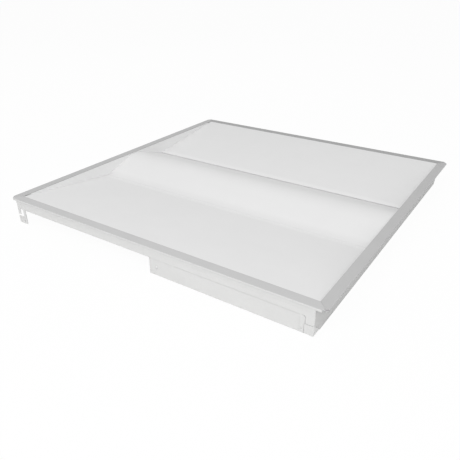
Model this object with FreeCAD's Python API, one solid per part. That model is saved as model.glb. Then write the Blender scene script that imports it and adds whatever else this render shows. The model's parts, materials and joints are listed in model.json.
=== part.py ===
import FreeCAD, Part

import math
import os

# Recessed lay-in ceiling light for a two foot ceiling grid, lying with its light face up.
# X runs along the near edge, Y away from it, Z up.  The origin is the middle of the footprint,
# on the surface that the back lies on.  A depth is measured down from the face of the rim.
# All lengths are millimetres.

# ---- whole fitting ----
SIZE = 603.0              # outside of the square rim
HEIGHT = 45.0             # face of the rim to the back of the pan
SHEET = 0.8               # every folded steel sheet
BEND = 1.0                # inside radius of a fold
FIT = 0.1                 # gap where one sheet lies inside another
PLAY = 0.3                # gap round a panel that is laid in
TOLERANCE = 1e-6          # two places nearer than this are one

# ---- rim ----
RIM_WIDTH = 16.0          # visible width of the rim's face
RIM_BEND = 0.24           # inside radius of the rim's sharp folds
CORNER_CUT = 8.0          # each outer corner is cut off by this much along both sides
MITRE_GAP = 0.15          # hairline between two mitred rails
HEM_WIDTH = 13.5          # turned-back edge under the left and right rails
TUCK = 10.5               # how far a side panel reaches under the rim
KEY_LEG = 38.0            # length of a corner key's legs
KEY_BAR = 4.0             # width of the key's leg under the near and far rails

# ---- walls and end plates ----
END_OVERHANG = 15.0       # rim that stands out past an end plate
FLANGE_NOTCH = 31.5       # end plate's flange stops this far from the corner
WALL_DEPTH = 17.5         # depth of the near and far wall strips
WALL_SEAM = 8.0           # depth of the upper, thicker band of those strips
WALL_STEP = 0.4           # how far that band stands proud
RETURN_WIDTH = 9.0        # inward lip of the wall strips, under the side panels
BOX_WIDTH = 71.5          # width of the driver compartment, wall to pan step
FAR_FOOT = 17.5           # pan floor ends this far inside the outer edge of the rim
FAR_SLOPE_DEPTH = 11.5    # depth at which the sloped far side meets the wall
CORNER_CHAMFER = 17.5     # cut on the lower near corner of the right end plate

# ---- corner lugs and grid clips ----
LUG_WIDTH = 20.2
LUG_LIFT = 0.6            # foot of a lug above the back of the pan
LUG_CORNER = 1.5
HOOK_IN = 6.0             # outer strip beside the hook slot
HOOK_WIDTH = 8.0
HOOK_TOP = 16.0
HOOK_BOTTOM = 31.0
HOOK_MOUTH = 3.0          # height of the slit that opens the slot to the side
HOOK_RADIUS = 2.5
SLIT_ARM = 12.6           # near right lug: outer face of the end plate to the arm's slit
SLIT_WIDTH = 0.9
SLIT_TAIL = 5.0           # run of that slit above the inner arm
SLIT_TOP = 17.4
SLIT_BOTTOM = 29.3
SLIT_RADIUS = 3.0
CLIP_GAP = 0.35           # bend line between a clip and its lug
LUG_HOLE_R = 1.75
LUG_HOLE_IN = 2.9         # hole centre from the lug's inner edge
LUG_HOLE_UP = 6.9         # hole centre from the lug's foot
FAR_LUG_INSET = 8.5       # far lugs stand this much further in than the near ones

# ---- side panels, centre diffuser and the rails that carry them ----
VALLEY_Y = 86.0           # middle line to a side panel's inner edge
VALLEY_DEPTH = 26.2
PANEL_GAP = 0.86          # inner edge of a side panel to the diffuser's flat edge
PANEL_BEND = 1.6          # inside radius of the fold beside the rim
DIFFUSER = 1.5
CREST_DEPTH = 2.4
FLANK_SLOPE = 0.341       # rise over run of the diffuser's flanks
CREST_HALF = 25.0         # half width of the rounded crest
DIFFUSER_EDGE = 11.0      # how far the diffuser reaches under a side panel
VALLEY_BEND = 7.0
RAIL_OFFSET = 2.0         # web of a carrier rail outside the diffuser's edge
RAIL_LEDGE = 9.0
RAIL_FOOT = 13.0
RAIL_PLAY = 0.5           # gap between a carrier rail and the end plates

# ---- light boards ----
BOARD_WIDTH = 24.0
BOARD_END = 5.7           # end of a board from the end plate
BOARD_THICK = 1.6
BOARD_Y = 40.0            # middle line of a board from the middle of the light
CHIP = 3.0
CHIP_HEIGHT = 0.7
CHIP_PITCH = 20.0
CHIP_EDGE = 20.0          # least run of bare board before the first chip
SCREW_COUNT = 5
SCREW_EDGE = 22.0         # outermost screws from a board's ends
SCREW_SIDE = 7.0          # screws from the board's middle line
PLUG_LENGTH = 10.0
PLUG_WIDTH = 7.0
PLUG_HEIGHT = 5.5
PLUG_WALL = 1.5
PLUG_DEEP = 1.0           # depth of a plug's mouth
PLUG_SET = 1.0            # plug from the board's edge
LINK_SPACE = 18.0         # link cable from the feed cable

# ---- driver compartment ----
BOX_LENGTH = 266.0        # inside the right end plate to the left end of the compartment
BOX_BEND = 0.5            # inside radius of the compartment's folds
BOX_LIP = 11.0            # top flange under the pan's shelf
SIDE_TAB = 20.0           # tab of the left end wall behind the front wall
SIDE_TAB_TOP = 4.0
SIDE_TAB_HEIGHT = 18.0
END_FLAP = 44.0
RIVET_IN = 13.0           # rivet from the compartment's left end
RIVET_R = 1.6
RIVET_HEAD_R = 2.6
RIVET_HEAD = 0.8
RIVET_TAIL_R = 1.8
RIVET_DEPTH = 31.5
ENTRY_R = 11.1            # half inch conduit knock-out
ENTRY_BORE_R = 8.0
ENTRY_FLANGE_R = 12.4
ENTRY_FLANGE = 1.6
ENTRY_LENGTH = 8.0

# ---- compartment cover ----
COVER_PLAY = 0.5
JOGGLE = 2.4              # the screwed edge is raised by this much
JOGGLE_WIDTH = 12.0
COVER_BEND = 0.3          # inside radius of the cover's folds
HINGE_R = 1.5
PIN_R = 0.75
PIN_HEAD_R = 1.15
PIN_CLEAR = 0.05
AXIS_HEIGHT = 1.8
AXIS_OUT = 2.4            # hinge axis from the pan's step
KNUCKLE = 9.0
KNUCKLE_GAP = 0.3
HINGE_EDGE = 42.0         # hinges from the ends of the cover
LEAF_TOP = 12.0
LEAF_BOTTOM = 3.6
COVER_EDGE = 0.8          # cover plate's edge from the hinge axis
COVER_SCREW_EDGE = 34.0
COVER_SCREW_R = 1.9
COVER_SCREW_HEAD_R = 3.6
COVER_SCREW_HEAD = 1.9
COVER_SCREW_SLOT = 0.6    # depth of its driver slot
COVER_SCREW_LENGTH = 5.0
SCREW_TAB = 22.0

# ---- driver, terminals and leads ----
DRIVER_END = 28.0         # room between the driver and the right end plate
DRIVER_WIDTH = 40.0
DRIVER_CLEAR = 4.7        # driver to the inside of the cover
DRIVER_EDGE = 1.5
CABLE_END = 17.7          # feed cable from the right end plate
LEAD_SPACE = 22.0         # terminal block to driver
EAR = 8.0
EAR_THICK = 1.2
EAR_WIDTH = 18.0
TERMINAL_START = 18.0
TERMINAL_LENGTH = 28.0
TERMINAL_WIDTH = 26.0
TERMINAL_HEIGHT = 14.0
WIRE_R = 1.1
WIRE_PITCH = 7.0
POLES = 3
PORT_R = 1.6
PORT_DEEP = 6.0
CABLE_R = 1.8
CABLE_LIFT = 4.6          # cable in its clips above the back of the pan
CABLE_EXIT_DEPTH = 28.0   # cable where it leaves the driver
CABLE_BEND = 8.0
CABLE_SIDE = 10.0         # cable from the driver's middle line
GROMMET_R = 4.2
GROMMET_FLANGE_R = 6.0
GROMMET_FLANGE = 1.5
CABLE_CLIP = 8.0
CABLE_CLIP_WALL = 1.5
SCREW_R = 1.5
SCREW_HEAD_R = 2.8
SCREW_HEAD = 1.6
SCREW_ROUND = 0.64        # rounding of a head's upper edge
TAP_CLEAR = 0.05

# ---- worked out from the sizes above ----
HALF = SIZE / 2.0
RIM_IN = HALF - RIM_WIDTH
END_OUT = HALF - END_OVERHANG
END_IN = END_OUT - SHEET
RAIL_IN = HALF - SHEET                  # inside of the rim's turned-down edge
BAND_IN = RAIL_IN - SHEET
LOWER_OUT = RAIL_IN - WALL_STEP
LOWER_IN = LOWER_OUT - SHEET            # inside of the wall strips, outside of the pan
LAYER_1 = SHEET                         # side panel edges, end flanges and corner keys
LAYER_2 = 2.0 * SHEET                   # lips of the wall strips
LAYER_3 = 3.0 * SHEET
LIP_DEPTH = 4.0 * SHEET
THROUGH = 4.0 * SHEET                   # reach of a cutter that goes through one sheet
STEP_Y = -(LOWER_IN - BOX_WIDTH)
FAR_FLOOR_Y = HALF - FAR_FOOT
PAN_FLOOR = HEIGHT - SHEET              # depth of the pan's inner floor
LUG_DEPTH = HEIGHT - LUG_LIFT
LUG_HOLE_DEPTH = LUG_DEPTH - LUG_HOLE_UP
CABLE_DEPTH = HEIGHT - CABLE_LIFT
PANEL_HALF = END_IN - PLAY
PANEL_SLOPE = (VALLEY_DEPTH - LAYER_1) / (RIM_IN - VALLEY_Y)
HOOK_X0 = END_OUT - HOOK_IN
HOOK_X1 = HOOK_X0 - HOOK_WIDTH          # bend line of a clip, from the middle
BOX_X0 = END_IN - BOX_LENGTH
FRONT_IN = LOWER_IN - SHEET
AXIS_Y = STEP_Y - AXIS_OUT
BOX_MID_Y = (-FRONT_IN + STEP_Y) / 2.0
BOX_MID_DEPTH = (WALL_DEPTH + HEIGHT) / 2.0
FLAT_DEPTH = VALLEY_DEPTH + SHEET + PANEL_GAP
DIFFUSER_OUT = VALLEY_Y + DIFFUSER_EDGE
RAIL_Y = DIFFUSER_OUT + RAIL_OFFSET
TERMINAL_X0 = BOX_X0 + TERMINAL_START
TERMINAL_X1 = TERMINAL_X0 + TERMINAL_LENGTH
DRIVER_X0 = TERMINAL_X1 + LEAD_SPACE
DRIVER_X1 = END_IN - DRIVER_END
DRIVER_BOTTOM = PAN_FLOOR - DRIVER_CLEAR
BOARD_HALF = END_IN - BOARD_END
FEED_X = END_IN - CABLE_END
LINK_X = FEED_X - LINK_SPACE
PLUG_Y_OUT = BOARD_Y + BOARD_WIDTH / 2.0 - PLUG_SET
PLUG_Y_IN = BOARD_Y - BOARD_WIDTH / 2.0 + PLUG_SET
BOARD_TOP = PAN_FLOOR - BOARD_THICK


def vec(x, y, z):
    """A point in millimetres."""
    return FreeCAD.Vector(x, y, z)


def slab(x0, x1, y0, y1, top, bottom):
    """A block between two depths."""
    return Part.makeBox(x1 - x0, y1 - y0, bottom - top, vec(x0, y0, HEIGHT - bottom))


def arc_through(before, corner, after, radius):
    """The tangent arc that rounds one corner of a path, with its two ends."""
    back = before.sub(corner)
    ahead = after.sub(corner)
    half = back.getAngle(ahead) / 2.0
    cut = radius / math.tan(half)
    back.normalize()
    ahead.normalize()
    start = corner.add(back.multiply(cut))
    end = corner.add(ahead.multiply(cut))
    middle = start.add(end).multiply(0.5)
    axis = middle.sub(corner)
    axis.normalize()
    top = corner.add(axis.multiply(radius / math.sin(half) - radius))
    return start, end, Part.Arc(start, top, end).toShape()


def rounded_wire(points, radii, closed):
    """Straight runs through the points, rounded by an arc at each point with a radius."""
    count = len(points)
    edges = []
    last = None
    first = None
    for i in range(count):
        ends_here = not closed and i in (0, count - 1)
        if radii[i] > 0.0 and not ends_here:
            start, end, arc = arc_through(points[i - 1], points[i], points[(i + 1) % count], radii[i])
        else:
            start, end, arc = points[i], points[i], None
        if last is not None and last.distanceToPoint(start) > TOLERANCE:
            edges.append(Part.LineSegment(last, start).toShape())
        if arc is not None:
            edges.append(arc)
        if first is None:
            first = start
        last = end
    if closed and last.distanceToPoint(first) > TOLERANCE:
        edges.append(Part.LineSegment(last, first).toShape())
    return Part.Wire(edges)


def prism(points, direction, radii=None):
    """A solid swept along a direction from a closed outline."""
    wire = rounded_wire(points, radii or [0.0] * len(points), True)
    return Part.Face(wire).extrude(direction)


def offset_path(path, distance):
    """The path moved sideways with mitred corners, to the left as drawn with depth downwards."""
    moved = []
    for i, (u, v) in enumerate(path):
        sum_u = 0.0
        sum_v = 0.0
        runs = 0
        for j, k in ((i - 1, i), (i, i + 1)):
            if j < 0 or k >= len(path):
                continue
            du = path[k][0] - path[j][0]
            dv = path[k][1] - path[j][1]
            length = math.hypot(du, dv)
            sum_u += dv / length
            sum_v -= du / length
            runs += 1
        scale = runs * distance / (sum_u * sum_u + sum_v * sum_v)
        moved.append((u + sum_u * scale, v + sum_v * scale))
    return moved


def folded(path, x0, x1, bend=BEND):
    """A folded sheet along X; the path is (Y, depth) of its outer face, the sheet lies to its left."""
    inner = offset_path(path, SHEET)
    radii = [0.0] * len(path)
    inner_radii = [0.0] * len(path)
    for i in range(1, len(path) - 1):
        au = path[i][0] - path[i - 1][0]
        av = path[i][1] - path[i - 1][1]
        bu = path[i + 1][0] - path[i][0]
        bv = path[i + 1][1] - path[i][1]
        wraps = au * bv - av * bu < 0.0
        radii[i] = bend + SHEET if wraps else bend
        inner_radii[i] = bend if wraps else bend + SHEET
    outline = path + inner[::-1]
    corners = radii + inner_radii[::-1]
    points = [vec(x0, y, HEIGHT - depth) for y, depth in outline]
    return prism(points, vec(x1 - x0, 0, 0), corners)


def plate_y(outline, y0, y1, radii=None):
    """An upright plate across Y; the outline is (X, depth)."""
    points = [vec(x, y0, HEIGHT - depth) for x, depth in outline]
    return prism(points, vec(0, y1 - y0, 0), radii)


def plate_x(outline, x0, x1):
    """An upright plate across X; the outline is (Y, depth)."""
    points = [vec(x0, y, HEIGHT - depth) for y, depth in outline]
    return prism(points, vec(x1 - x0, 0, 0))


def post(x, y, radius, top, bottom):
    """An upright cylinder between two depths."""
    return Part.makeCylinder(radius, bottom - top, vec(x, y, HEIGHT - bottom))


def rod(start, direction, radius, length):
    """A cylinder from a point along a direction."""
    return Part.makeCylinder(radius, length, start, direction)


def mirrored_x(shape):
    """The shape on the other side of the YZ plane."""
    return shape.mirror(vec(0, 0, 0), vec(1, 0, 0))


def mirrored_y(shape):
    """The shape on the other side of the XZ plane."""
    return shape.mirror(vec(0, 0, 0), vec(0, 1, 0))


def turned(shape, degrees):
    """The shape turned about the upright axis through the origin."""
    copy = shape.copy()
    copy.rotate(vec(0, 0, 0), vec(0, 0, 1), degrees)
    return copy


def joined(shapes):
    """One solid from pieces that meet or overlap."""
    result = shapes[0]
    for shape in shapes[1:]:
        result = result.fuse(shape)
    return result.removeSplitter()


def tube(points, radius, bend):
    """A round tube along straight runs joined by tangent arcs."""
    wire = rounded_wire(points, [bend] * len(points), False)
    along = points[1].sub(points[0])
    profile = Part.Wire(Part.Circle(points[0], along, radius).toShape())
    return wire.makePipeShell([profile], True, False)


def save(name, *shapes):
    """Writes one node."""
    shape = shapes[0] if len(shapes) == 1 else Part.makeCompound(list(shapes))
    for solid in shape.Solids:
        if not solid.isValid():
            print("not valid:", name)
    shape.exportStep("parts/" + name + ".step")
    print(name, len(shape.Solids), round(shape.Volume, 1))


# ---- rim ----

def corner_trimmer(inset):
    """A square block with its corners cut as the rim's are, drawn in by a gap."""
    reach = HALF - inset
    cut = CORNER_CUT
    points = []
    for sx, sy in ((1, 1), (-1, 1), (-1, -1), (1, -1)):
        first = vec(sx * reach, sy * (reach - cut), 0)
        second = vec(sx * (reach - cut), sy * reach, 0)
        pair = [first, second] if sx * sy > 0 else [second, first]
        points.extend(pair)
    return prism(points, vec(0, 0, HEIGHT))


def mitre_wedge():
    """The quarter of the plan that belongs to the near rail."""
    reach = HALF + CORNER_CUT
    tip = -MITRE_GAP / math.sqrt(2.0)
    points = [vec(0, tip, 0), vec(-reach, tip - reach, 0), vec(reach, tip - reach, 0)]
    return prism(points, vec(0, 0, HEIGHT))


def rim_rail(hemmed):
    """A rail of the rim as it lies on the near side, with or without the turned-back edge."""
    path = [(-RIM_IN, 0.0), (-HALF, 0.0), (-HALF, LIP_DEPTH)]
    if hemmed:
        path.append((-(HALF - HEM_WIDTH), LIP_DEPTH))
    rail = folded(path, -HALF, HALF, RIM_BEND)
    return rail.common(mitre_wedge()).common(corner_trimmer(0.0))


def corner_key():
    """A flat L-shaped key under the rim at the near left corner."""
    out = RAIL_IN - PLAY
    side = END_OUT + PLAY
    bar = out - KEY_BAR
    leg_x = HALF - KEY_LEG
    leg_y = HALF - FLANGE_NOTCH + PLAY
    outline = [(-out, -out), (-leg_x, -out), (-leg_x, -bar), (-side, -bar), (-side, -leg_y), (-out, -leg_y)]
    points = [vec(x, y, HEIGHT - LAYER_2) for x, y in outline]
    return prism(points, vec(0, 0, SHEET)).common(corner_trimmer(FIT))


def build_rim():
    plain = rim_rail(False)
    hemmed = rim_rail(True)
    save("rim_near", plain)
    save("rim_far", turned(plain, 180))
    save("rim_left", turned(hemmed, -90))
    save("rim_right", turned(hemmed, 90))
    key = corner_key()
    other = mirrored_x(key)
    save("corner_keys", key, other, mirrored_y(key), mirrored_y(other))


# ---- wall strips, their lugs and the clips ----

def hook_slot():
    """Cuts the hook slot and its side mouth from the near left lug."""
    y0 = -(HALF + SHEET)
    outline = [(-HOOK_X0, HOOK_TOP), (-HOOK_X1, HOOK_TOP), (-HOOK_X1, HOOK_BOTTOM), (-HOOK_X0, HOOK_BOTTOM)]
    slot = plate_y(outline, y0, y0 + THROUGH, [HOOK_RADIUS, HOOK_RADIUS, 0.0, 0.0])
    mouth = slab(-(END_OUT + PLAY), -HOOK_X1, y0, y0 + THROUGH, HOOK_BOTTOM - HOOK_MOUTH, HOOK_BOTTOM)
    return slot.fuse(mouth)


def arm_slit():
    """Cuts the S-shaped slit of the lug before the compartment, drawn at the near left."""
    y0 = -(HALF + SHEET)
    turn = -(END_OUT - SLIT_ARM)
    path = [(turn + SLIT_TAIL, SLIT_TOP), (turn, SLIT_TOP),
            (turn, SLIT_BOTTOM), (-(END_OUT + PLAY), SLIT_BOTTOM)]
    half = SLIT_WIDTH / 2.0
    outline = offset_path(path, half) + offset_path(path, -half)[::-1]
    radii = 2 * [0.0, SLIT_RADIUS - half, SLIT_RADIUS + half, 0.0]
    return plate_y(outline, y0, y0 + THROUGH, radii)


def clip_space(top):
    """The part of the near left lug that the bend-out clip takes, from a depth downwards."""
    y0 = -(HALF + SHEET)
    return slab(-(END_OUT + PLAY), -HOOK_X1, y0, y0 + THROUGH, top, LUG_DEPTH + PLAY)


def lug(opening, foot_top):
    """The near left lug with its opening and wire hole, without the clip at its foot."""
    outline = [(-END_OUT, WALL_SEAM), (-(END_OUT - LUG_WIDTH), WALL_SEAM),
               (-(END_OUT - LUG_WIDTH), LUG_DEPTH), (-END_OUT, LUG_DEPTH)]
    plate = plate_y(outline, -LOWER_OUT, -LOWER_IN, [0.0, 0.0, LUG_CORNER, LUG_CORNER])
    hole_x = -(END_OUT - LUG_WIDTH + LUG_HOLE_IN)
    hole = rod(vec(hole_x, -HALF, HEIGHT - LUG_HOLE_DEPTH), vec(0, 1, 0), LUG_HOLE_R, THROUGH)
    return plate.cut(opening).cut(clip_space(foot_top)).cut(hole)


def grid_clip(foot_top):
    """The near left bend-out clip: the foot of the lug, from a depth downwards."""
    top = foot_top + CLIP_GAP
    outline = [(-END_OUT, top), (-(HOOK_X1 + CLIP_GAP), top),
               (-(HOOK_X1 + CLIP_GAP), LUG_DEPTH), (-END_OUT, LUG_DEPTH)]
    return plate_y(outline, -LOWER_OUT, -LOWER_IN, [0.0, 0.0, 0.0, LUG_CORNER])


def wall_strip(left_lug, right_lug):
    """A wall strip as it lies on the near side, with its lip and both lugs."""
    band = slab(-END_OUT, END_OUT, -RAIL_IN, -BAND_IN, LAYER_2, WALL_SEAM)
    lower = slab(-END_OUT, END_OUT, -LOWER_OUT, -LOWER_IN, WALL_SEAM - SHEET, WALL_DEPTH)
    reach = END_IN - FIT
    lip = slab(-reach, reach, -BAND_IN, -(RAIL_IN - RETURN_WIDTH), LAYER_2, LAYER_3)
    return joined([band, lower, lip, left_lug, right_lug])


def build_walls():
    hooked = lug(hook_slot(), HOOK_BOTTOM)
    slit = mirrored_x(lug(arm_slit(), SLIT_BOTTOM))
    save("near_wall", wall_strip(hooked, slit))
    inner = hooked.copy()
    inner.translate(vec(FAR_LUG_INSET, 0, 0))
    save("far_wall", turned(wall_strip(inner, mirrored_x(inner)), 180))
    near_left = grid_clip(HOOK_BOTTOM)
    far_left = mirrored_y(near_left)
    far_left.translate(vec(FAR_LUG_INSET, 0, 0))
    save("grid_clip_near_left", near_left)
    save("grid_clip_near_right", mirrored_x(grid_clip(SLIT_BOTTOM)))
    save("grid_clip_far_left", far_left)
    save("grid_clip_far_right", mirrored_x(far_left))


# ---- pan and end plates ----

def pan_path():
    """The outer face of the pan, from the near wall to the far wall."""
    return [(-LOWER_IN, LAYER_3), (-LOWER_IN, WALL_DEPTH), (STEP_Y, WALL_DEPTH), (STEP_Y, HEIGHT),
            (FAR_FLOOR_Y, HEIGHT), (LOWER_IN, FAR_SLOPE_DEPTH), (LOWER_IN, LAYER_3)]


def screw_row(y):
    """Places along both sides of the light, at a distance from its middle line."""
    reach = BOARD_HALF - SCREW_EDGE
    pitch = 2.0 * reach / (SCREW_COUNT - 1)
    return [(i * pitch - reach, side * y) for side in (-1, 1) for i in range(SCREW_COUNT)]


def board_screw_places():
    """Where the light boards are screwed down."""
    return screw_row(BOARD_Y + SCREW_SIDE)


def rail_screw_places():
    """Where the carrier rails are screwed down."""
    return screw_row(RAIL_Y + RAIL_FOOT / 2.0)


def driver_screw_places():
    """Where the driver's ears are screwed to the pan's shelf."""
    return [(DRIVER_X0 - EAR / 2.0, BOX_MID_Y), (DRIVER_X1 + EAR / 2.0, BOX_MID_Y)]


def build_pan():
    pan = folded(pan_path(), -END_IN, END_IN)
    for x, y in board_screw_places() + rail_screw_places():
        pan = pan.cut(post(x, y, SCREW_R + TAP_CLEAR, PAN_FLOOR - SHEET, HEIGHT + SHEET))
    for x, y in driver_screw_places():
        pan = pan.cut(post(x, y, SCREW_R + TAP_CLEAR, WALL_DEPTH - 3.0 * SHEET, WALL_DEPTH + SHEET))
    wire_hole = rod(vec(FEED_X, STEP_Y - SHEET, HEIGHT - CABLE_EXIT_DEPTH), vec(0, 1, 0), GROMMET_R, THROUGH)
    save("back_pan", pan.cut(wire_hole))


def end_plate(near_corner):
    """The left end plate; near_corner lists the near end of its outline, from the top down."""
    reach = HALF - FLANGE_NOTCH
    outline = near_corner + [(FAR_FLOOR_Y, HEIGHT), (LOWER_IN, FAR_SLOPE_DEPTH), (LOWER_IN, LAYER_2),
                             (reach, LAYER_2), (reach, LAYER_1), (-reach, LAYER_1), (-reach, LAYER_2)]
    plate = plate_x(outline, -END_OUT, -END_IN)
    flange = slab(-(RAIL_IN - PLAY), -END_OUT, -reach, reach, LAYER_1, LAYER_2)
    return joined([plate, flange])


def build_end_plates():
    top = (-LOWER_IN, LAYER_2)
    left_corner = [top, (-LOWER_IN, WALL_DEPTH), (STEP_Y, WALL_DEPTH), (STEP_Y, HEIGHT)]
    right_corner = [top, (-LOWER_IN, HEIGHT - CORNER_CHAMFER), (-LOWER_IN + CORNER_CHAMFER, HEIGHT)]
    save("left_end_plate", end_plate(left_corner))
    save("right_end_plate", mirrored_x(end_plate(right_corner)))


# ---- side panels, diffuser and carrier rails ----

def side_panel():
    """The near side panel: tucked under the rim and sloping down to the valley."""
    path = [(-VALLEY_Y, VALLEY_DEPTH), (-RIM_IN, LAYER_1), (-(RIM_IN + TUCK), LAYER_1)]
    return folded(path, -PANEL_HALF, PANEL_HALF, PANEL_BEND)


def diffuser_profile(offset, x):
    """Half of one face of the diffuser as edges, from the flat edge to the crest."""
    flat = FLAT_DEPTH + offset
    angle = math.atan(FLANK_SLOPE)
    crest_r = CREST_HALF / math.sin(angle)
    centre_depth = CREST_DEPTH + crest_r
    inner_r = crest_r - offset
    tangent_y = inner_r * math.sin(angle)
    tangent_depth = centre_depth - inner_r * math.cos(angle)
    corner_y = tangent_y + (flat - tangent_depth) / FLANK_SLOPE
    bend = VALLEY_BEND + offset
    points = [vec(x, -DIFFUSER_OUT, HEIGHT - flat), vec(x, -corner_y, HEIGHT - flat),
              vec(x, -tangent_y, HEIGHT - tangent_depth)]
    flank = rounded_wire(points, [0.0, bend, 0.0], False)
    top = vec(x, 0, HEIGHT - centre_depth + inner_r)
    far = vec(x, tangent_y, HEIGHT - tangent_depth)
    crest = Part.Arc(points[2], top, far).toShape()
    return flank, crest


def diffuser():
    """The centre diffuser: two sloped flanks and a rounded crest, with flat edges."""
    edges = []
    ends = []
    x = -PANEL_HALF
    for offset in (0.0, DIFFUSER):
        flank, crest = diffuser_profile(offset, x)
        other = flank.mirror(vec(0, 0, 0), vec(0, 1, 0))
        edges.extend(flank.Edges + [crest] + other.Edges)
        ends.append(HEIGHT - FLAT_DEPTH - offset)
    for y in (-DIFFUSER_OUT, DIFFUSER_OUT):
        edges.append(Part.LineSegment(vec(x, y, ends[0]), vec(x, y, ends[1])).toShape())
    wire = Part.Wire(Part.__sortEdges__(edges))
    return Part.Face(wire).extrude(vec(2.0 * PANEL_HALF, 0, 0))


def panel_underside(y):
    """Depth of a side panel's underside at a distance from the middle line."""
    return LAYER_1 + PANEL_SLOPE * (RIM_IN - y) + SHEET * math.hypot(1.0, PANEL_SLOPE)


def carrier_rail():
    """The near carrier rail: web, ledge under the diffuser's edge and foot on the pan."""
    reach = END_IN - RAIL_PLAY
    ledge_depth = FLAT_DEPTH + DIFFUSER
    web_top = panel_underside(RAIL_Y) + PLAY
    web = slab(-reach, reach, -(RAIL_Y + SHEET), -RAIL_Y, web_top, PAN_FLOOR)
    ledge = slab(-reach, reach, -RAIL_Y, -(RAIL_Y - RAIL_LEDGE), ledge_depth, ledge_depth + SHEET)
    foot = slab(-reach, reach, -(RAIL_Y + RAIL_FOOT), -RAIL_Y, PAN_FLOOR - SHEET, PAN_FLOOR)
    rail = joined([web, ledge, foot])
    for x, y in rail_screw_places():
        if y < 0.0:
            rail = rail.cut(post(x, y, SCREW_R + TAP_CLEAR, PAN_FLOOR - 2.0 * SHEET, HEIGHT))
    return rail


def build_optics():
    panel = side_panel()
    save("side_panel_near", panel)
    save("side_panel_far", mirrored_y(panel))
    save("centre_diffuser", diffuser())
    rail = carrier_rail()
    cable_hole = rod(vec(FEED_X, -RAIL_Y - 2.0 * SHEET, HEIGHT - CABLE_DEPTH), vec(0, 1, 0),
                     CABLE_R + 3.0 * PLAY, THROUGH)
    save("carrier_rail_near", rail.cut(cable_hole))
    save("carrier_rail_far", mirrored_y(rail))


# ---- light boards ----

def pan_screw(x, y, seat, end):
    """A pan-head screw whose head seats at one depth and whose shank ends at another."""
    head = post(x, y, SCREW_HEAD_R, seat - SCREW_HEAD, seat)
    crown = HEIGHT - seat + SCREW_HEAD
    crown_edges = [e for e in head.Edges if e.BoundBox.ZMin > crown - TOLERANCE]
    head = head.makeFillet(SCREW_ROUND, crown_edges)
    return joined([head, post(x, y, SCREW_R, seat, end)])


def plug(x, y_mouth, side):
    """A board connector; side is the way its mouth faces along Y."""
    y0, y1 = sorted((y_mouth, y_mouth - side * PLUG_WIDTH))
    half = PLUG_LENGTH / 2.0
    body = slab(x - half, x + half, y0, y1, BOARD_TOP - PLUG_HEIGHT, BOARD_TOP)
    mouth = slab(x - half + PLUG_WALL, x + half - PLUG_WALL, y_mouth - PLUG_DEEP, y_mouth + PLUG_DEEP,
                 BOARD_TOP - PLUG_HEIGHT + PLUG_WALL, BOARD_TOP - PLUG_WALL)
    return body.cut(mouth)


def light_board(side):
    """A light board on one side of the middle line, with its screw holes."""
    y = side * BOARD_Y
    board = slab(-BOARD_HALF, BOARD_HALF, y - BOARD_WIDTH / 2.0, y + BOARD_WIDTH / 2.0, BOARD_TOP, PAN_FLOOR)
    for sx, sy in board_screw_places():
        board = board.cut(post(sx, sy, SCREW_R + TAP_CLEAR, BOARD_TOP - SHEET, HEIGHT))
    return board


def light_chips(side):
    """The row of light chips on one board."""
    gaps = int((2.0 * BOARD_HALF - 2.0 * CHIP_EDGE) / CHIP_PITCH)
    start = -gaps * CHIP_PITCH / 2.0
    half = CHIP / 2.0
    y = side * BOARD_Y
    chips = []
    for i in range(gaps + 1):
        x = start + CHIP_PITCH * i
        chips.append(slab(x - half, x + half, y - half, y + half, BOARD_TOP - CHIP_HEIGHT, BOARD_TOP))
    return chips


def build_boards():
    for name, side in (("near", -1), ("far", 1)):
        save("light_board_" + name, light_board(side))
        save("light_chips_" + name, *light_chips(side))
    end = HEIGHT - TAP_CLEAR
    save("board_screws", *[pan_screw(x, y, BOARD_TOP, end) for x, y in board_screw_places()])
    save("rail_screws", *[pan_screw(x, y, PAN_FLOOR - SHEET, end) for x, y in rail_screw_places()])
    save("board_connectors", plug(FEED_X, -PLUG_Y_OUT, -1), plug(LINK_X, -PLUG_Y_IN, 1),
         plug(LINK_X, PLUG_Y_IN, -1))


# ---- driver compartment ----

def cover_screw_places():
    """Where the cover is screwed to the compartment's tabs."""
    y = -(FRONT_IN - JOGGLE_WIDTH / 2.0)
    return [(BOX_X0 + COVER_SCREW_EDGE, y), (END_IN - COVER_SCREW_EDGE, y)]


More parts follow.
